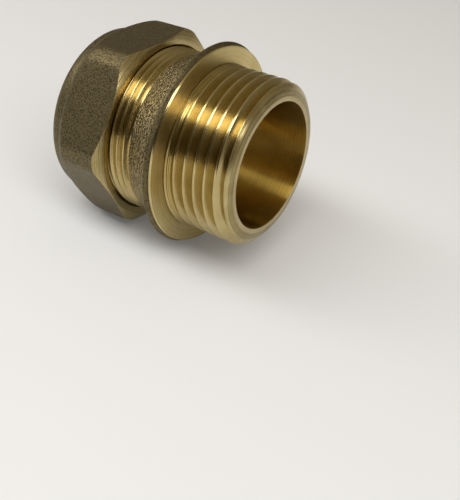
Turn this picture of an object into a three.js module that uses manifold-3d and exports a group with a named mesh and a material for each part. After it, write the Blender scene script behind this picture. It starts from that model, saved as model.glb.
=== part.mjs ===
// Brass compression coupling: a male pipe thread at one end, and at the other a pipe socket
// that is closed by an olive and a hexagonal nut. Millimetres, +Z up.
// The fitting's axis is X and its male end points to +X. The origin is on the axis, midway
// between the male end face and the back of the nut. The nut lies with flats up and down.

import * as THREE from 'three';
import { mergeVertices } from 'three/addons/utils/BufferGeometryUtils.js';
import Module from 'manifold-3d';

const wasm = await Module();
wasm.setup();

// Every depth is measured along the axis from the male end face, towards the nut.
const LENGTH = 33.5;
const STEPS = 40; // facets round the axis

// Threads, both right-hand with 55 degree flanks, rounded crests taken as flats. The middle of
// a crest lies at the depth crestAt on top of the fitting, and a pitch further each turn.
const FLANK_SLOPE = Math.tan(THREE.MathUtils.degToRad(27.5));
const MALE_THREAD = { crest: 13.2205, root: 12.0585, pitch: 1.8143, crestAt: 0.45 };
const NUT_THREAD = { crest: 13.6, root: 12.787, pitch: 1.27, crestAt: 1.02 };
const THREAD_PLAY = 0.25; // how much wider the nut's thread is cut than the body's

// Waterway and pipe socket
const BORE_R = 10.2;
const SOCKET_R = 11.15;
const PIPE_STOP = 12.5;

// Male end
const END_FACE_R = 11.7;
const END_CHAMFER = 0.83;
const MALE_THREAD_END = 10.7;
const MALE_RUN_OUT = 1.5; // length over which the groove gets shallow towards the flange

// Flange, turned in front and left rough behind, where a cone runs down to the nut's thread
const FLANGE_FRONT = 11.48;
const FLANGE_FACE_R = 16.0;
const FLANGE_R = 16.5;
const RIM_ROUND = 0.35;
const RIM_BACK = 12.1;
const CONE_START = 12.64;
const CONE_START_R = 15.4;
const CONE_END = 17.72;
const CONE_END_R = 13.07;
const NUT_THREAD_START = 18.05;

// Mouth of the pipe socket, coned to take the olive
const MOUTH = 26.5;
const MOUTH_R = 12.35;
const MOUTH_CHAMFER = 0.85;
const SEAT_SLOPE = Math.tan(THREE.MathUtils.degToRad(30));

// Olive
const OLIVE_FRONT = 25.6;
const OLIVE_BACK = 31.5;
const OLIVE_BORE_R = 11.08;
const OLIVE_END_R = 11.55;
const OLIVE_R = 12.4;

// Nut
const NUT_FRONT = 21.1;
const ACROSS_FLATS = 30;
const NUT_FACE_R = 14.93;
const NUT_MOUTH_R = 14.0;
const NUT_CORNER_R = 16.6;
const NUT_CHAMFER_SLOPE = Math.tan(THREE.MathUtils.degToRad(30));
const NUT_BORE_R = 13.1;
const FEMALE_THREAD_END = 28.2;
const CORNER_END = 28.3;
const BOSS_START = 30.6;
const BOSS_R = 14.44;
const BOSS_END = 31.7;
const BOSS_END_R = 14.3;
const NUT_BACK_R = 12.8;
const PIPE_HOLE_R = 11.25;
const PIPE_HOLE_DEPTH = 1.3;
const PIPE_HOLE_CHAMFER = 0.3;

const OVERRUN = 1; // how far a cutter runs past the face that it cuts

// A closed geometry as a solid that can be joined and cut
function solidOf(geometry) {
  const bare = new THREE.BufferGeometry();
  bare.setAttribute('position', geometry.getAttribute('position'));
  bare.setIndex(geometry.getIndex());
  const merged = mergeVertices(bare);
  const index = merged.getIndex().array;
  const faces = [];
  for (let i = 0; i < index.length; i += 3) {
    const [a, b, c] = index.slice(i, i + 3);
    if (a !== b && b !== c && c !== a) faces.push(a, b, c);
  }
  return new wasm.Manifold(new wasm.Mesh({
    numProp: 3,
    vertProperties: new Float32Array(merged.getAttribute('position').array),
    triVerts: new Uint32Array(faces),
  }));
}

// A solid's surface as a flat-shaded geometry
function geometryOf(solid) {
  const mesh = solid.getMesh();
  const geometry = new THREE.BufferGeometry();
  geometry.setAttribute('position', new THREE.BufferAttribute(mesh.vertProperties, mesh.numProp));
  geometry.setIndex(new THREE.BufferAttribute(mesh.triVerts, 1));
  geometry.computeVertexNormals();
  return geometry;
}

// A turned solid from its outline of [radius, depth] points. The outline closes on itself.
function turned(outline) {
  const ring = outline.map(([radius, depth]) => new THREE.Vector2(radius, depth));
  if (THREE.ShapeUtils.isClockWise(ring)) ring.reverse();
  ring.push(ring[0].clone());
  return solidOf(new THREE.LatheGeometry(ring, STEPS));
}

// The points of a soft bend between two outline points, the second of them included
function bend(from, corner, to, count) {
  const curve = new THREE.QuadraticBezierCurve(
    new THREE.Vector2(...from), new THREE.Vector2(...corner), new THREE.Vector2(...to),
  );
  return curve.getPoints(count).slice(1).map((point) => [point.x, point.y]);
}

// A threaded rod that reaches past both depths. One strip of facets winds round the axis: its
// rows follow the crest and the root, and each turn starts one pitch further on.
function threadedRod(thread, from, to, wider = 0) {
  const { pitch, crestAt } = thread;
  const crest = thread.crest + wider;
  const root = thread.root + wider;
  const flat = (pitch / 2 - (crest - root) * FLANK_SLOPE) / 2;
  const rows = [
    [crest, -flat], [crest, flat], [root, pitch / 2 - flat], [root, pitch / 2 + flat],
  ];
  const firstTurn = Math.floor((from - crestAt) / pitch) - 2;
  const turns = Math.ceil((to - from) / pitch) + 4;
  const lastRow = turns * rows.length;

  const positions = [];
  const numberOf = new Map();
  const addPoint = (row, step) => {
    const turn = firstTurn + Math.floor(row / rows.length);
    const [radius, offset] = rows[row % rows.length];
    const angle = (2 * Math.PI * step) / STEPS;
    const depth = crestAt + (turn + step / STEPS) * pitch + offset;
    numberOf.set(row * STEPS + step, positions.length / 3);
    positions.push(radius * Math.sin(angle), depth, radius * Math.cos(angle));
  };
  for (let row = 0; row <= lastRow; row++) {
    for (let step = 0; step < STEPS; step++) addPoint(row, step);
  }
  for (let row = lastRow + 1; row <= lastRow + rows.length; row++) addPoint(row, 0);
  // after a whole turn the strip meets the row one turn on
  const at = (row, step) => numberOf.get(
    step === STEPS ? (row + rows.length) * STEPS : row * STEPS + step,
  );

  const faces = [];
  for (let row = 0; row < lastRow; row++) {
    for (let step = 0; step < STEPS; step++) {
      faces.push(at(row, step), at(row, step + 1), at(row + 1, step + 1));
      faces.push(at(row, step), at(row + 1, step + 1), at(row + 1, step));
    }
  }
  // each end is closed by a fan from the axis to the strip's edge and to the step in it
  for (const row of [0, lastRow]) {
    const rim = [];
    for (let step = 0; step <= STEPS; step++) rim.push(at(row, step));
    for (let down = rows.length - 1; down > 0; down--) rim.push(at(row + down, 0));
    const centre = positions.length / 3;
    positions.push(0, positions[3 * rim[0] + 1] + pitch / 2, 0);
    rim.forEach((point, i) => {
      const next = rim[(i + 1) % rim.length];
      faces.push(...(row === 0 ? [centre, next, point] : [centre, point, next]));
    });
  }
  const geometry = new THREE.BufferGeometry();
  geometry.setAttribute('position', new THREE.Float32BufferAttribute(positions, 3));
  geometry.setIndex(faces);
  return solidOf(geometry);
}

// What a thread cutter takes off a turned blank between two depths. The tool is drawn out of
// the groove over the run-out, the last stretch before the second depth.
function threadCut(thread, from, to, runOut = 0) {
  const inside = thread.root - OVERRUN;
  const outside = thread.crest + OVERRUN;
  const steepness = runOut / (thread.crest - thread.root);
  const zone = turned([
    [inside, from],
    [outside, from],
    [outside, to + steepness * OVERRUN],
    [inside, to - runOut - steepness * OVERRUN],
  ]);
  return zone.subtract(threadedRod(thread, from, to + steepness * OVERRUN));
}

// Body: the outside is turned first, the threads are cut in it, and it is bored from both ends
function couplingBody() {
  const mouthCrest = NUT_THREAD.crest - MOUTH_CHAMFER;
  const blank = turned([
    [BORE_R, 0],
    [END_FACE_R, 0],
    [MALE_THREAD.crest, END_CHAMFER],
    [MALE_THREAD.crest, FLANGE_FRONT],
    [FLANGE_FACE_R, FLANGE_FRONT],
    ...bend([FLANGE_FACE_R, FLANGE_FRONT], [FLANGE_R, FLANGE_FRONT],
      [FLANGE_R, FLANGE_FRONT + RIM_ROUND], 2),
    [FLANGE_R, RIM_BACK],
    [CONE_START_R, CONE_START],
    [CONE_END_R, CONE_END],
    [CONE_END_R, NUT_THREAD_START],
    [NUT_THREAD.crest, NUT_THREAD_START],
    [NUT_THREAD.crest, MOUTH - MOUTH_CHAMFER],
    [mouthCrest, MOUTH],
    [MOUTH_R, MOUTH],
    [SOCKET_R, MOUTH - (MOUTH_R - SOCKET_R) / SEAT_SLOPE],
    [SOCKET_R, PIPE_STOP],
    [BORE_R, PIPE_STOP],
  ]);
  return blank
    .subtract(threadCut(MALE_THREAD, -OVERRUN, MALE_THREAD_END, MALE_RUN_OUT))
    .subtract(threadCut(NUT_THREAD, NUT_THREAD_START, MOUTH + OVERRUN));
}

// Olive: a plain ring, tapered towards both ends as steeply as the seat in the body's mouth
function compressionOlive() {
  const taper = (OLIVE_R - OLIVE_END_R) / SEAT_SLOPE;
  return turned([
    [OLIVE_BORE_R, OLIVE_FRONT],
    [OLIVE_END_R, OLIVE_FRONT],
    [OLIVE_R, OLIVE_FRONT + taper],
    [OLIVE_R, OLIVE_BACK - taper],
    [OLIVE_END_R, OLIVE_BACK],
    [OLIVE_BORE_R, OLIVE_BACK],
  ]);
}

// Nut: a hexagonal bar with its corners turned off, bored, coned inside and threaded
function compressionNut() {
  const bar = new THREE.Shape();
  for (let corner = 0; corner < 6; corner++) {
    const angle = (corner * Math.PI) / 3;
    const reach = ACROSS_FLATS / Math.sqrt(3);
    const place = [reach * Math.cos(angle), reach * Math.sin(angle)];
    if (corner === 0) bar.moveTo(...place);
    else bar.lineTo(...place);
  }
  const hexagon = new THREE.ExtrudeGeometry(bar, {
    depth: LENGTH - NUT_FRONT + 2 * OVERRUN,
    bevelEnabled: false,
  });
  // the extrusion runs along z, and is turned to run along y with a flat facing z
  hexagon.rotateX(-Math.PI / 2);
  hexagon.translate(0, NUT_FRONT - OVERRUN, 0);

  const outside = turned([
    [BORE_R, NUT_FRONT],
    [NUT_FACE_R, NUT_FRONT],
    [NUT_CORNER_R, NUT_FRONT + (NUT_CORNER_R - NUT_FACE_R) * NUT_CHAMFER_SLOPE],
    [NUT_CORNER_R, CORNER_END],
    ...bend([NUT_CORNER_R, CORNER_END], [NUT_CORNER_R - 0.2, CORNER_END + 1.2],
      [BOSS_R, BOSS_START], 4),
    [BOSS_END_R, BOSS_END],
    ...bend([BOSS_END_R, BOSS_END], [BOSS_END_R - 0.15, BOSS_END + 1.2],
      [NUT_BACK_R, LENGTH], 4),
    [BORE_R, LENGTH],
  ]);
  const coneDepth = NUT_BORE_R - PIPE_HOLE_R;
  const coneEnd = LENGTH - PIPE_HOLE_DEPTH;
  const entry = NUT_MOUTH_R - NUT_BORE_R;
  const inside = turned([
    [BORE_R - OVERRUN, NUT_FRONT - OVERRUN],
    [NUT_MOUTH_R + OVERRUN, NUT_FRONT - OVERRUN],
    [NUT_BORE_R, NUT_FRONT + entry],
    [NUT_BORE_R, coneEnd - coneDepth],
    [PIPE_HOLE_R, coneEnd],
    [PIPE_HOLE_R, LENGTH - PIPE_HOLE_CHAMFER],
    [PIPE_HOLE_R + PIPE_HOLE_CHAMFER + OVERRUN, LENGTH + OVERRUN],
    [BORE_R - OVERRUN, LENGTH + OVERRUN],
  ]);
  const threadZone = turned([
    [BORE_R - OVERRUN, NUT_FRONT - OVERRUN],
    [NUT_CORNER_R, NUT_FRONT - OVERRUN],
    [NUT_CORNER_R, FEMALE_THREAD_END],
    [BORE_R - OVERRUN, FEMALE_THREAD_END],
  ]);
  const femaleThread = threadedRod(NUT_THREAD, NUT_FRONT, FEMALE_THREAD_END, THREAD_PLAY)
    .intersect(threadZone);
  return solidOf(hexagon).intersect(outside).subtract(inside).subtract(femaleThread);
}

const brass = (colour, roughness) => new THREE.MeshStandardMaterial({
  color: colour, roughness, metalness: 1,
});

const coupling = new THREE.Group();
for (const [name, solid, material] of [
  ['coupling_body', couplingBody(), brass(0xb8954f, 0.28)],
  ['compression_olive', compressionOlive(), brass(0xc0a05c, 0.3)],
  ['compression_nut', compressionNut(), brass(0x7d6c48, 0.5)],
]) {
  const mesh = new THREE.Mesh(geometryOf(solid), material);
  mesh.name = name;
  coupling.add(mesh);
}
// the pieces are made standing on the y axis, and are laid along x with the male end to +x
coupling.rotation.z = Math.PI / 2;
coupling.position.x = LENGTH / 2;

export default coupling;
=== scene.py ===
import math

import bmesh
import bpy
from mathutils import Matrix, Vector


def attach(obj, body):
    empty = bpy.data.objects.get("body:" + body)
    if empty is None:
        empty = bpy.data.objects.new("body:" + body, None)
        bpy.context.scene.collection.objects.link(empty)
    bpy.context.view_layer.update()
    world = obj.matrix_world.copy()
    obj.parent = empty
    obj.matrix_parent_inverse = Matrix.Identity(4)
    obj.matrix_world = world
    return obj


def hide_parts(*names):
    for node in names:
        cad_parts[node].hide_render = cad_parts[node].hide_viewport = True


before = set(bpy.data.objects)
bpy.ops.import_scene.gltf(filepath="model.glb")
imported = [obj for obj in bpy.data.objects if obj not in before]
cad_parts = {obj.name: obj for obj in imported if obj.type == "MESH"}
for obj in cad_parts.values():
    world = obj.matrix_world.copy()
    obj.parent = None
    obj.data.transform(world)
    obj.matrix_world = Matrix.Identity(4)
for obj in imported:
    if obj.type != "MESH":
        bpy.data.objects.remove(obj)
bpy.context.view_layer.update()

# Shapes are made in millimetres, with depths measured along the axis from the male end face.
MM = 0.001
HALF_LENGTH = 16.75
LENGTH = 2 * HALF_LENGTH
FULL_TURN = 2 * math.pi
BODY_STEPS = 192
NUT_STEPS = 240
WELD = 0.002
SHARP_EDGE = math.radians(32)

# Threads: the middle of a crest lies at the depth crest_at on top of the fitting.
FLANK_SLOPE = math.tan(math.radians(27.5))
MALE_THREAD = {"crest": 13.2205, "root": 12.0585, "pitch": 1.8143, "crest_at": 0.52}
NUT_THREAD = {"crest": 13.6, "root": 12.787, "pitch": 1.27, "crest_at": 1.02}
THREAD_PLAY = 0.25
CREST_ROUND = 0.05
ROOT_FLAT = 0.05

# Body
BORE_R = 10.2
SOCKET_R = 11.15
PIPE_STOP = 12.5
END_FACE_R = 10.95
END_BEVEL = (0.27, 11.95)
END_CHAMFER = 1.2
RUN_OUT = [(9.3, 12.06), (9.65, 12.88), (9.8, 13.08)]
RUN_OUT_GROOVES = [(9.93, 12.92), (10.07, 13.1), (10.2, 12.93), (10.34, 13.12), (10.48, 12.95)]
FOOT_LIP = (10.66, 13.37)
FOOT_GROOVE = [(10.87, 12.9), (10.95, 12.9)]
FOOT_R = 13.15
FLANGE_FRONT = 11.08
FLANGE_FACE_R = 16.08
FLANGE_R = 16.5
RIM_ROUND = 0.09
RIM_STEP = 11.5
RIM_STEP_R = 15.8
RIM_TOP = 12.0
RIM_BACK = 12.26
CONE_START = 12.64
CONE_START_R = 15.4
CONE_END = 17.72
CONE_END_R = 13.07
NUT_THREAD_START = 18.05
CREST_LEAD_IN = 0.35
ROOT_LEAD_IN = 0.7
MOUTH = 26.5
MOUTH_R = 12.35
MOUTH_EDGE_R = 12.75
MOUTH_CHAMFER = 0.85
SEAT_SLOPE = math.tan(math.radians(30))

# Olive
OLIVE_FRONT = 25.6
OLIVE_BACK = 31.5
OLIVE_BORE_R = 11.08
OLIVE_END_R = 11.55
OLIVE_R = 12.4

# Nut
NUT_FRONT = 21.1
ACROSS_FLATS = 30
NUT_FACE_R = 14.93
NUT_MOUTH_R = 14.0
NUT_CORNER_R = 16.6
NUT_CHAMFER_SLOPE = math.tan(math.radians(30))
NUT_BORE_R = 13.1
FEMALE_THREAD_END = 28.2
FEMALE_LEAD_OUT = 0.8
CORNER_END = 28.3
BOSS_START = 30.6
BOSS_R = 14.44
BOSS_END = 31.7
BOSS_END_R = 14.3
NUT_BACK_R = 12.8
PIPE_HOLE_R = 11.25
PIPE_HOLE_DEPTH = 1.3
PIPE_HOLE_CHAMFER = 0.3
SIDE_ROWS = 12
CORNER_SOFTNESS = 0.3
BACK_SOFTNESS = 0.35
SOFTER_FROM = 27
SOFTER_OVER = 2


def radius_of(vert):
    return math.hypot(vert.co.y, vert.co.z)


def depth_of(vert):
    return HALF_LENGTH - vert.co.x


def set_radius(vert, radius):
    scale = radius / radius_of(vert)
    vert.co.y *= scale
    vert.co.z *= scale


def whole(bm):
    return bm.verts[:] + bm.edges[:] + bm.faces[:]


def outline(points):
    """A bmesh with a turned shape's outline. Each point is a depth, a radius and its rounding."""
    bm = bmesh.new()
    verts = [bm.verts.new((HALF_LENGTH - depth, 0, radius)) for depth, radius, _ in points]
    for pair in zip(verts, verts[1:]):
        bm.edges.new(pair)
    corners = {}
    for vert, (_, _, rounding) in zip(verts[1:-1], points[1:-1]):
        corners.setdefault(rounding, []).append(vert)
    corners.pop(0, None)
    for rounding, group in corners.items():
        bmesh.ops.bevel(
            bm, geom=group, offset=rounding, offset_type="OFFSET", affect="VERTICES",
            segments=3, profile=0.5, material=-1, clamp_overlap=True,
        )
    return bm


def turned(points, steps):
    """A lathe-turned skin from its outline."""
    bm = outline(points)
    bmesh.ops.spin(
        bm, geom=bm.verts[:] + bm.edges[:], cent=(0, 0, 0), axis=(1, 0, 0),
        angle=FULL_TURN, steps=steps, use_merge=True,
    )
    return bm


def threaded(thread, start, end, steps, wider=0, inner=None):
    """A thread's skin between two depths, wound as one strip. The ends are cut square."""
    pitch = thread["pitch"]
    crest = thread["crest"] + wider
    root = thread["root"] + wider
    flat = (pitch / 2 - (crest - root) * FLANK_SLOPE) / 2
    foot = pitch / 2 - ROOT_FLAT
    root -= (flat - ROOT_FLAT) / FLANK_SLOPE
    if inner:
        foot -= (inner - root) * FLANK_SLOPE
        root = inner
    first = math.floor((start - thread["crest_at"]) / pitch) - 2
    last = math.ceil((end - thread["crest_at"]) / pitch) + 3
    points = []
    for turn in range(first, last):
        middle = thread["crest_at"] + turn * pitch
        points += [
            (middle - flat, crest, CREST_ROUND), (middle + flat, crest, CREST_ROUND),
            (middle + foot, root, ROOT_FLAT * 0.9), (middle + pitch - foot, root, ROOT_FLAT * 0.9),
        ]
    bm = outline(points)
    bmesh.ops.spin(
        bm, geom=bm.verts[:] + bm.edges[:], cent=(0, 0, 0), axis=(1, 0, 0),
        dvec=(pitch / steps, 0, 0), angle=FULL_TURN, steps=steps,
    )
    bmesh.ops.remove_doubles(bm, verts=bm.verts[:], dist=WELD)
    for depth, side in ((start, 1), (end, -1)):
        bmesh.ops.bisect_plane(
            bm, geom=whole(bm), dist=0.0001, plane_co=(HALF_LENGTH - depth, 0, 0),
            plane_no=(side, 0, 0), clear_outer=True,
        )
    return bm


def fitted(bm, profile, side):
    """Turns a skin down (side 1) or builds it up (side -1) to a profile of depths and radii.
    For each stretch the skin is slid along the axis by its radius, so that the stretch's cone
    is a plane while the edges along it are cut."""
    stretches = list(zip(profile, profile[1:]))
    for start, end in stretches:
        slope = (end[0] - start[0]) / (end[1] - start[1])
        cut_across(bm, start[0])
        for vert in bm.verts:
            vert.co.x += slope * radius_of(vert)
        cut_across(bm, start[0] - slope * start[1])
        for vert in bm.verts:
            vert.co.x -= slope * radius_of(vert)
    cut_across(bm, profile[-1][0])
    for vert in bm.verts:
        depth, radius = depth_of(vert), radius_of(vert)
        for start, end in stretches:
            low, high = sorted((start[0], end[0]))
            if low - WELD < depth < high + WELD:
                share = (depth - start[0]) / (end[0] - start[0])
                target = start[1] + share * (end[1] - start[1])
                if side * (radius - target) > 0:
                    set_radius(vert, target)
                    break


def cut_across(bm, depth):
    """Adds edges where a skin crosses a depth."""
    bmesh.ops.bisect_plane(
        bm, geom=whole(bm), dist=0.0001, plane_co=(HALF_LENGTH - depth, 0, 0),
        plane_no=(1, 0, 0),
    )


def even_rims(bm, steps):
    """Welds the verts of open edges to the turning steps, where the next skin has its own."""
    near = {}
    for vert in bm.verts:
        if vert.is_boundary:
            step = math.atan2(-vert.co.y, vert.co.z) / FULL_TURN * steps
            near.setdefault((round(depth_of(vert), 2), round(step) % steps), []).append(
                (abs(step - round(step)), vert.index, vert),
            )
    merges = {}
    for group in near.values():
        keep, *others = [vert for *_, vert in sorted(group, key=lambda entry: entry[:2])]
        merges.update((vert, keep) for vert in others)
    bmesh.ops.weld_verts(bm, targetmap=merges)


def joined(skins):
    """One closed skin from several, which meet vert to vert."""
    bm = bmesh.new()
    for skin in skins:
        part = bpy.data.meshes.new("skin")
        skin.to_mesh(part)
        skin.free()
        bm.from_mesh(part)
        bpy.data.meshes.remove(part)
    bmesh.ops.remove_doubles(bm, verts=bm.verts[:], dist=WELD)
    return bm


def finished(bm, name, finishes, finish_of, body, node):
    """A piece from its skin: finishes are its materials and finish_of picks one for a face."""
    bmesh.ops.recalc_face_normals(bm, faces=bm.faces[:])
    for face in bm.faces:
        middle = face.calc_center_median()
        finish = finish_of(HALF_LENGTH - middle.x, math.hypot(middle.y, middle.z), face.normal)
        face.material_index = finishes.index(finish)
        face.smooth = True
    for edge in bm.edges:
        edge.smooth = edge.calc_face_angle(0) < SHARP_EDGE
    bmesh.ops.scale(bm, vec=(MM, MM, MM), verts=bm.verts[:])
    mesh = bpy.data.meshes.new(name)
    bm.to_mesh(mesh)
    bm.free()
    for material in finishes:
        mesh.materials.append(material)
    piece = bpy.data.objects.new(name, mesh)
    bpy.context.scene.collection.objects.link(piece)
    shading = piece.modifiers.new("flat faces stay flat", "WEIGHTED_NORMAL")
    shading.keep_sharp = True
    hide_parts(node)
    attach(piece, body)
    return piece


def bend(start, corner, end, count):
    """Points on a soft bend between two points of depth and radius, with both ends."""
    points = []
    for i in range(count + 1):
        t = i / count
        depth, radius = (
            (1 - t) ** 2 * a + 2 * t * (1 - t) * b + t * t * c
            for a, b, c in zip(start, corner, end)
        )
        points.append((depth, radius, 0))
    return points


def coupling_body():
    crest = MALE_THREAD["crest"]
    thread_end = RUN_OUT[-1][0]
    male = threaded(MALE_THREAD, 0, thread_end, BODY_STEPS)
    fitted(male, [(0, END_FACE_R), END_BEVEL, (END_CHAMFER, crest)], 1)
    fitted(male, RUN_OUT, -1)
    fitted(male, [(RUN_OUT[1][0], crest), RUN_OUT[2]], 1)
    even_rims(male, BODY_STEPS)
    shoulder = turned([
        (*RUN_OUT[-1], 0),
        *((depth, radius, 0.02) for depth, radius in RUN_OUT_GROOVES),
        (*FOOT_LIP, 0.03),
        (*FOOT_GROOVE[0], 0.05),
        (*FOOT_GROOVE[1], 0.05),
        (FLANGE_FRONT, FOOT_R, 0.04),
        (FLANGE_FRONT, FLANGE_FACE_R, RIM_ROUND),
        (RIM_STEP, FLANGE_FACE_R, 0.03),
        (RIM_STEP + 0.04, RIM_STEP_R, 0.05),
        (RIM_TOP, FLANGE_R, 0.12),
        (RIM_BACK, FLANGE_R, 0.08),
        (CONE_START, CONE_START_R, 0.3),
        (CONE_END, CONE_END_R, 0.08),
        (NUT_THREAD_START, CONE_END_R, 0),
    ], BODY_STEPS)
    crest, root = NUT_THREAD["crest"], NUT_THREAD["root"]
    inner = threaded(NUT_THREAD, NUT_THREAD_START, MOUTH, BODY_STEPS)
    start = (NUT_THREAD_START, CONE_END_R)
    fitted(inner, [start, (NUT_THREAD_START + CREST_LEAD_IN, crest)], 1)
    fitted(inner, [start, (NUT_THREAD_START + ROOT_LEAD_IN, root)], -1)
    fitted(inner, [(MOUTH, MOUTH_EDGE_R), (MOUTH - MOUTH_CHAMFER, crest)], 1)
    even_rims(inner, BODY_STEPS)
    bore = turned([
        (MOUTH, MOUTH_EDGE_R, 0),
        (MOUTH, MOUTH_R, 0.06),
        (MOUTH - (MOUTH_R - SOCKET_R) / SEAT_SLOPE, SOCKET_R, 0.2),
        (PIPE_STOP, SOCKET_R, 0.1),
        (PIPE_STOP, BORE_R, 0.1),
        (0, BORE_R, 0.05),
        (0, END_FACE_R, 0),
    ], BODY_STEPS)
    return joined([male, shoulder, inner, bore])


def compression_olive():
    taper = (OLIVE_R - OLIVE_END_R) / SEAT_SLOPE
    ring = turned([
        (OLIVE_FRONT + 2, OLIVE_BORE_R, 0),
        (OLIVE_FRONT, OLIVE_BORE_R, 0.08),
        (OLIVE_FRONT, OLIVE_END_R, 0.08),
        (OLIVE_FRONT + taper, OLIVE_R, 0.4),
        (OLIVE_BACK - taper, OLIVE_R, 0.4),
        (OLIVE_BACK, OLIVE_END_R, 0.08),
        (OLIVE_BACK, OLIVE_BORE_R, 0.08),
        (OLIVE_FRONT + 2, OLIVE_BORE_R, 0),
    ], BODY_STEPS)
    return joined([ring])


def softer_min(one, other, softness):
    """The smaller of two radii, with a rounded change from one to the other."""
    near = max(softness - abs(one - other), 0) / softness
    return min(one, other) - near * near * softness / 4


def compression_nut():
    female = threaded(
        NUT_THREAD, NUT_FRONT, FEMALE_THREAD_END, NUT_STEPS, THREAD_PLAY, NUT_BORE_R,
    )
    entry = NUT_MOUTH_R - NUT_BORE_R
    fitted(female, [(NUT_FRONT, NUT_MOUTH_R), (NUT_FRONT + entry, NUT_BORE_R)], -1)
    crest = NUT_THREAD["crest"] + THREAD_PLAY
    fitted(
        female, [(FEMALE_THREAD_END, NUT_BORE_R), (FEMALE_THREAD_END - FEMALE_LEAD_OUT, crest)], 1,
    )
    even_rims(female, NUT_STEPS)
    cone_end = LENGTH - PIPE_HOLE_DEPTH
    cone = NUT_BORE_R - PIPE_HOLE_R
    sides = [
        (CORNER_END - (CORNER_END - NUT_FRONT) * i / SIDE_ROWS, NUT_CORNER_R, 0)
        for i in range(1, SIDE_ROWS + 1)
    ]
    shell = turned([
        (FEMALE_THREAD_END, NUT_BORE_R, 0),
        (cone_end - cone, NUT_BORE_R, 0.2),
        (cone_end, PIPE_HOLE_R, 0.2),
        (LENGTH - PIPE_HOLE_CHAMFER, PIPE_HOLE_R, 0.05),
        (LENGTH, PIPE_HOLE_R + PIPE_HOLE_CHAMFER, 0.05),
        *bend((LENGTH, NUT_BACK_R), (BOSS_END + 1.2, BOSS_END_R - 0.15),
              (BOSS_END, BOSS_END_R), 10),
        *bend((BOSS_START, BOSS_R), (CORNER_END + 1.2, NUT_CORNER_R - 0.2),
              (CORNER_END, NUT_CORNER_R), 16),
        *sides,
        (NUT_FRONT, NUT_MOUTH_R, 0),
    ], NUT_STEPS)
    for vert in shell.verts:
        if radius_of(vert) > BOSS_END_R:
            angle = math.degrees(math.atan2(-vert.co.y, vert.co.z))
            from_flat = (angle + 30) % 60 - 30
            flat = ACROSS_FLATS / 2 / math.cos(math.radians(from_flat))
            softer = max(0, min(1, (depth_of(vert) - SOFTER_FROM) / SOFTER_OVER))
            softness = CORNER_SOFTNESS + BACK_SOFTNESS * softer
            set_radius(vert, softer_min(radius_of(vert), flat, softness))
    chamfer_end = NUT_FRONT + (NUT_CORNER_R - NUT_FACE_R) * NUT_CHAMFER_SLOPE
    fitted(shell, [(NUT_FRONT, NUT_FACE_R), (chamfer_end, NUT_CORNER_R)], 1)
    return joined([shell, female])


class Finish:
    """A material's node tree, with short calls to add and join nodes."""

    def __init__(self, name):
        self.material = bpy.data.materials.new(name)
        self.material.use_nodes = True
        self.tree = self.material.node_tree
        self.tree.nodes.clear()
        self.shader = self.add("ShaderNodeBsdfPrincipled")
        output = self.add("ShaderNodeOutputMaterial")
        self.join(self.shader, "BSDF", output, "Surface")
        self.place = self.add("ShaderNodeTexCoord").outputs["Object"]

    def add(self, kind, settings=None, **inputs):
        node = self.tree.nodes.new(kind)
        for key, value in (settings or {}).items():
            setattr(node, key, value)
        for key, value in inputs.items():
            self.put(node, key.replace("_", " "), value)
        return node

    def put(self, node, key, value):
        socket = node.inputs[int(key)] if key.isdigit() else node.inputs[key]
        if isinstance(value, bpy.types.NodeSocket):
            self.tree.links.new(value, socket)
        else:
            socket.default_value = value

    def join(self, node, output, other, socket):
        self.tree.links.new(node.outputs[output], other.inputs[socket])

    def math(self, operation, one, other=0.0):
        node = self.add("ShaderNodeMath", {"operation": operation})
        self.put(node, "0", one)
        self.put(node, "1", other)
        return node.outputs[0]

    def spread(self, value, low, high, new_low, new_high):
        node = self.add(
            "ShaderNodeMapRange", Value=value, From_Min=low, From_Max=high,
            To_Min=new_low, To_Max=new_high,
        )
        return node.outputs["Result"]

    def noise(self, place, scale, detail=2.0, roughness=0.5):
        node = self.add(
            "ShaderNodeTexNoise", Vector=place, Scale=scale, Detail=detail,
            Roughness=roughness,
        )
        return node.outputs[0]

    def mixed(self, share, one, other):
        node = self.add("ShaderNodeMix", {"data_type": "RGBA"})
        self.put(node, "0", share)
        self.put(node, "6", one)
        self.put(node, "7", other)
        return node.outputs[2]

    def bumped(self, height, distance, strength, normal=None):
        node = self.add("ShaderNodeBump", Height=height, Distance=distance, Strength=strength)
        if normal is not None:
            self.put(node, "Normal", normal)
        return node.outputs["Normal"]

    def lathe_place(self):
        """The place along the axis and out from it, which is the same all round a cut."""
        parts = self.add("ShaderNodeSeparateXYZ", Vector=self.place)
        out = self.math("SQRT", self.math(
            "ADD",
            self.math("MULTIPLY", parts.outputs["Y"], parts.outputs["Y"]),
            self.math("MULTIPLY", parts.outputs["Z"], parts.outputs["Z"]),
        ))
        both = self.add("ShaderNodeCombineXYZ", X=parts.outputs["X"], Y=out)
        return both.outputs[0]

    def cut_round_the_axis(self):
        """Turns the gloss of a cut across its tool marks, which run round the axis."""
        across = self.add("ShaderNodeVectorMath", {"operation": "CROSS_PRODUCT"})
        self.put(across, "0", (1, 0, 0))
        self.put(across, "1", self.place)
        world = self.add("ShaderNodeVectorTransform", {
            "vector_type": "VECTOR", "convert_from": "OBJECT", "convert_to": "WORLD",
        }, Vector=across.outputs[0])
        self.put(self.shader, "Tangent", world.outputs[0])
        self.put(self.shader, "Anisotropic Rotation", 0.25)


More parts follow.
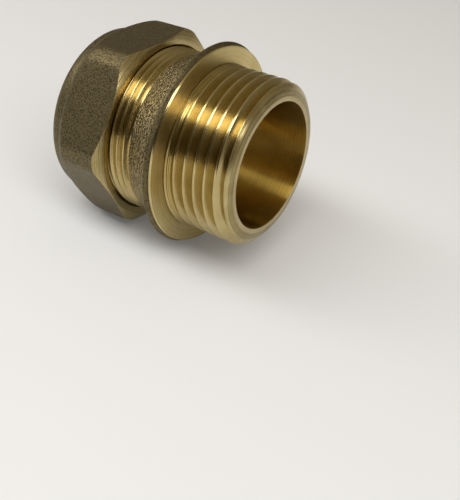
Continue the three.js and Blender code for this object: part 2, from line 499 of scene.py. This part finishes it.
def turned_brass(name, bright, deep, smooth, rough, anisotropy, groove, marks):
    """Cut brass. Colours are linear; groove is the tool marks' spacing in millimetres and
    marks is how deep they look."""
    finish = Finish(name)
    finish.cut_round_the_axis()
    lathe = finish.lathe_place()
    rings = finish.noise(lathe, 1 / (groove * MM), 2.0, 0.6)
    stain = finish.noise(finish.place, 260, 3.0, 0.6)
    # The colour follows the tool marks' rings and a random stain: darker where the rings dip,
    # which is painted shade in the marks, and otherwise random tone.
    tone = finish.math("ADD", finish.math("MULTIPLY", rings, 0.5),
                       finish.math("MULTIPLY", stain, 0.5))
    share = finish.spread(tone, 0.38, 0.62, 0.0, 1.0)
    finish.put(finish.shader, "Base Color", finish.mixed(share, (*deep, 1), (*bright, 1)))
    finish.put(finish.shader, "Metallic", 1.0)
    finish.put(finish.shader, "Roughness", finish.spread(rings, 0.35, 0.65, smooth, rough))
    finish.put(finish.shader, "Anisotropic", anisotropy)
    finish.put(finish.shader, "Normal", finish.bumped(rings, groove * MM, marks))
    return finish.material


def forged_brass(name, bright, deep, rough, grain, marks):
    """Shot-blasted forging skin, pitted at the grain's size in millimetres."""
    finish = Finish(name)
    drift = finish.add("ShaderNodeTexNoise", Vector=finish.place, Scale=2.2 / (grain * MM))
    moved = finish.add("ShaderNodeVectorMath", {"operation": "MULTIPLY_ADD"})
    finish.put(moved, "0", drift.outputs["Color"])
    finish.put(moved, "1", (grain * MM * 0.9,) * 3)
    finish.put(moved, "2", finish.place)
    dimples = finish.add(
        "ShaderNodeTexVoronoi", Vector=moved.outputs[0], Scale=1 / (grain * MM),
    ).outputs["Distance"]
    specks = finish.noise(finish.place, 1.4 / (grain * MM), 3.0, 0.65)
    height = finish.math("ADD", dimples, finish.math("MULTIPLY", specks, 0.8))
    patches = finish.noise(finish.place, 420, 2.0, 0.5)
    # The colour follows the bump's pits and specks: darker low in the pits, which is painted shade
    # in them, over random grain.
    tone = finish.math("ADD", finish.math("MULTIPLY", dimples, 0.7),
                       finish.math("MULTIPLY", specks, 0.5))
    share = finish.spread(tone, 0.35, 0.68, 0.0, 1.0)
    finish.put(finish.shader, "Base Color", finish.mixed(share, (*deep, 1), (*bright, 1)))
    finish.put(finish.shader, "Metallic", 1.0)
    finish.put(finish.shader, "Roughness", finish.spread(specks, 0.35, 0.65, rough + 0.08, rough))
    wavy = finish.bumped(patches, 0.4 * MM, 0.12)
    finish.put(finish.shader, "Normal", finish.bumped(height, grain * MM, marks, wavy))
    return finish.material


cut_brass = turned_brass(
    "cut brass", bright=(0.57, 0.465, 0.23), deep=(0.45, 0.35, 0.15),
    smooth=0.19, rough=0.25, anisotropy=0.7, groove=0.12, marks=0.06,
)
bored_brass = turned_brass(
    "bored brass", bright=(0.52, 0.355, 0.085), deep=(0.42, 0.27, 0.05),
    smooth=0.28, rough=0.32, anisotropy=0.97, groove=0.3, marks=0.13,
)
faced_brass = turned_brass(
    "faced brass", bright=(0.56, 0.465, 0.26), deep=(0.44, 0.35, 0.17),
    smooth=0.26, rough=0.34, anisotropy=0.7, groove=0.15, marks=0.08,
)
chamfer_brass = turned_brass(
    "chamfer brass", bright=(0.62, 0.51, 0.27), deep=(0.42, 0.33, 0.14),
    smooth=0.25, rough=0.31, anisotropy=0.92, groove=0.25, marks=0.35,
)
# Darker brass on the bevel round the male end face: painted shade for the dark room that this
# bevel reflects. Its strong tool-mark stripes are real.
bevel_brass_painted_shade = turned_brass(
    "bevel brass painted shade", bright=(0.43, 0.35, 0.165), deep=(0.27, 0.21, 0.085),
    smooth=0.22, rough=0.28, anisotropy=0.85, groove=0.25, marks=0.45,
)
# Paler brass on the flange face: a painted highlight for the bright reflection of the thread that
# this face shows. Its rougher gloss across the tool marks is the face's own finish.
flange_brass_painted_highlight = turned_brass(
    "flange brass painted highlight", bright=(0.72, 0.59, 0.29), deep=(0.6, 0.475, 0.19),
    smooth=0.28, rough=0.35, anisotropy=0.95, groove=0.2, marks=0.07,
)
# Darker brass on the fine grooves where the thread runs out at the flange's foot: painted shade
# for this hollow and the dark reflections in it. Its tool marks are real.
shank_brass_painted_shade = turned_brass(
    "shank brass painted shade", bright=(0.5, 0.385, 0.15), deep=(0.36, 0.265, 0.09),
    smooth=0.18, rough=0.25, anisotropy=0.7, groove=0.2, marks=0.15,
)
skin_brass = forged_brass(
    "forging skin", bright=(0.18, 0.145, 0.075), deep=(0.072, 0.055, 0.025),
    rough=0.44, grain=0.34, marks=0.2,
)
blasted_brass = forged_brass(
    "blasted brass", bright=(0.38, 0.31, 0.175), deep=(0.035, 0.025, 0.01),
    rough=0.2, grain=0.46, marks=0.55,
)


def body_finish(depth, radius, normal):
    """The finish at a depth and radius of the body, where the surface faces along normal."""
    # Flange face: paler brass, a painted highlight.
    if radius > FOOT_R and FLANGE_FRONT - 0.03 < depth < FLANGE_FRONT + 0.1:
        return flange_brass_painted_highlight
    # Run-out grooves at the flange's foot: darker brass, painted shade.
    if RUN_OUT[1][0] < depth < RUN_OUT_GROOVES[-1][0] and RUN_OUT[1][1] < radius:
        return shank_brass_painted_shade
    if RIM_STEP - 0.02 < depth < RIM_BACK and radius > CONE_START_R:
        return skin_brass
    if RIM_STEP < depth < CONE_END and radius > CONE_END_R - 0.01:
        return blasted_brass
    # Male end face in faced brass; the bevel round it in darker brass, painted shade.
    if depth < END_BEVEL[0] and normal.x > 0.95:
        return faced_brass if radius < END_FACE_R else bevel_brass_painted_shade
    if depth < END_CHAMFER and 0.7 < normal.x < 0.83:
        return chamfer_brass
    if radius < SOCKET_R + 0.1:
        return bored_brass
    return cut_brass


def olive_finish(depth, radius, normal):
    return faced_brass


def nut_finish(depth, radius, normal):
    """The finish at a depth and radius of the nut, where the surface faces along normal."""
    chamfer = NUT_FRONT + (radius - NUT_FACE_R) * NUT_CHAMFER_SLOPE
    if radius > NUT_FACE_R - 0.3 and depth < chamfer + 0.05 and normal.x > 0.3:
        return chamfer_brass
    if radius > NUT_FACE_R - 2 and depth > CORNER_END or radius > NUT_FACE_R:
        return skin_brass
    if depth > LENGTH - 0.5:
        return skin_brass
    return cut_brass


finished(
    coupling_body(), "body",
    [cut_brass, faced_brass, bored_brass, blasted_brass, flange_brass_painted_highlight, shank_brass_painted_shade,
     skin_brass, chamfer_brass, bevel_brass_painted_shade],
    body_finish, "body", "coupling_body",
)
finished(
    compression_olive(), "olive", [faced_brass], olive_finish, "olive", "compression_olive",
)
finished(
    compression_nut(), "nut", [cut_brass, chamfer_brass, skin_brass], nut_finish, "nut",
    "compression_nut",
)

# Room: colours are linear, and the heights and sides at which the room changes are parts of 1.
ROOM_DARK = (0.06, 0.05, 0.033, 1)
ROOM_LOW = (0.18, 0.155, 0.11, 1)
ROOM_HIGH = (0.34, 0.3, 0.23, 1)
SKY_HEIGHTS = (0.05, 0.6)
DARK_SIDES = (-0.62, -0.3)

# Camera: the photograph is turned a little against the fitting, and the softbox turns with it.
VIEW_TURN = 0.9
CAMERA_PLACE = (72.929, -98.335, 66.725)
CAMERA_AIM = (4.358, -6.172, 4.516)

# Pale floor, tilted so that the flange's rim and the nut's rear edge both lie on it
FLOOR_SIZE = 3.0
FLOOR_COLOUR = (0.72, 0.72, 0.72, 1)
FLOOR_GLOW = 0.1
FLANGE_TOUCH = Vector((HALF_LENGTH - RIM_BACK, 0, -FLANGE_R)) * MM
NUT_TOUCH = Vector((HALF_LENGTH - CORNER_END, 0, -ACROSS_FLATS / 2)) * MM


def pale_floor():
    bm = bmesh.new()
    bmesh.ops.create_grid(bm, x_segments=1, y_segments=1, size=FLOOR_SIZE / 2)
    slope = FLANGE_TOUCH - NUT_TOUCH
    tilt = math.atan2(-slope.z, slope.x)
    bmesh.ops.transform(
        bm, verts=bm.verts[:],
        matrix=Matrix.Translation(FLANGE_TOUCH) @ Matrix.Rotation(tilt, 4, "Y"),
    )
    mesh = bpy.data.meshes.new("floor")
    bm.to_mesh(mesh)
    bm.free()
    floor = bpy.data.objects.new("floor", mesh)
    bpy.context.scene.collection.objects.link(floor)
    material = bpy.data.materials.new("pale floor")
    material.use_nodes = True
    tree = material.node_tree
    tree.nodes.clear()
    matt = tree.nodes.new("ShaderNodeBsdfDiffuse")
    matt.inputs["Color"].default_value = FLOOR_COLOUR
    glow = tree.nodes.new("ShaderNodeEmission")
    path = tree.nodes.new("ShaderNodeLightPath")
    seen = tree.nodes.new("ShaderNodeMath")
    seen.operation = "ADD"
    tree.links.new(path.outputs["Is Camera Ray"], seen.inputs[0])
    tree.links.new(path.outputs["Is Glossy Ray"], seen.inputs[1])
    through = tree.nodes.new("ShaderNodeMath")
    through.operation = "ADD"
    tree.links.new(seen.outputs[0], through.inputs[0])
    tree.links.new(path.outputs["Is Transmission Ray"], through.inputs[1])
    strength = tree.nodes.new("ShaderNodeMath")
    strength.operation = "MULTIPLY"
    tree.links.new(through.outputs[0], strength.inputs[0])
    strength.inputs[1].default_value = FLOOR_GLOW
    tree.links.new(strength.outputs[0], glow.inputs["Strength"])
    both = tree.nodes.new("ShaderNodeAddShader")
    tree.links.new(matt.outputs[0], both.inputs[0])
    tree.links.new(glow.outputs[0], both.inputs[1])
    output = tree.nodes.new("ShaderNodeOutputMaterial")
    tree.links.new(both.outputs[0], output.inputs["Surface"])
    mesh.materials.append(material)


def studio_world():
    """Even light from above and behind, with a darker room on the camera's side."""
    world = bpy.data.worlds.new("studio")
    bpy.context.scene.world = world
    world.use_nodes = True
    tree = world.node_tree
    tree.nodes.clear()
    place = tree.nodes.new("ShaderNodeTexCoord")
    parts = tree.nodes.new("ShaderNodeSeparateXYZ")
    tree.links.new(place.outputs["Generated"], parts.inputs[0])

    def blend(value, limits, one, other):
        ramp = tree.nodes.new("ShaderNodeMapRange")
        ramp.interpolation_type = "SMOOTHSTEP"
        ramp.inputs["From Min"].default_value = limits[0]
        ramp.inputs["From Max"].default_value = limits[1]
        tree.links.new(value, ramp.inputs["Value"])
        tint = tree.nodes.new("ShaderNodeMix")
        tint.data_type = "RGBA"
        tree.links.new(ramp.outputs[0], tint.inputs[0])
        tint.inputs[6].default_value = one
        if isinstance(other, tuple):
            tint.inputs[7].default_value = other
        else:
            tree.links.new(other, tint.inputs[7])
        return tint.outputs[2]

    sky = blend(parts.outputs["Z"], SKY_HEIGHTS, ROOM_LOW, ROOM_HIGH)
    room = blend(parts.outputs["Y"], DARK_SIDES, ROOM_DARK, sky)
    back = tree.nodes.new("ShaderNodeBackground")
    tree.links.new(room, back.inputs["Color"])
    output = tree.nodes.new("ShaderNodeOutputWorld")
    tree.links.new(back.outputs[0], output.inputs["Surface"])


def softbox(name, off_zenith, along, distance, width, length, power):
    """A soft light that leans from above towards the camera's side and points at the fitting."""
    lamp = bpy.data.lights.new(name, "AREA")
    lamp.shape = "RECTANGLE"
    lamp.size = length
    lamp.size_y = width
    lamp.energy = power
    light = bpy.data.objects.new(name, lamp)
    lean = math.radians(off_zenith + VIEW_TURN)
    light.location = (along, -distance * math.sin(lean), distance * math.cos(lean))
    light.rotation_euler = (-lean, 0, 0)
    bpy.context.scene.collection.objects.link(light)


def camera():
    """The photograph's viewpoint, with the fitting high and left of the middle of the frame."""
    lens = bpy.data.cameras.new("camera")
    lens.sensor_width = 36
    lens.lens = 61.736
    lens.shift_x = 0.093
    lens.shift_y = -0.236
    lens.clip_start = 0.01
    view = bpy.data.objects.new("camera", lens)
    place = Vector(CAMERA_PLACE) * MM
    aim = Vector(CAMERA_AIM) * MM
    look = (aim - place).to_track_quat("-Z", "Y").to_matrix().to_4x4()
    turn = Matrix.Rotation(math.radians(VIEW_TURN), 4, "X")
    view.matrix_world = turn @ Matrix.Translation(place) @ look
    bpy.context.scene.collection.objects.link(view)
    bpy.context.scene.camera = view


pale_floor()
studio_world()
softbox(
    "main softbox", off_zenith=24, along=0.1, distance=0.6, width=0.34, length=2.0, power=9.5,
)
camera()
bpy.context.scene.view_settings.view_transform = "Standard"
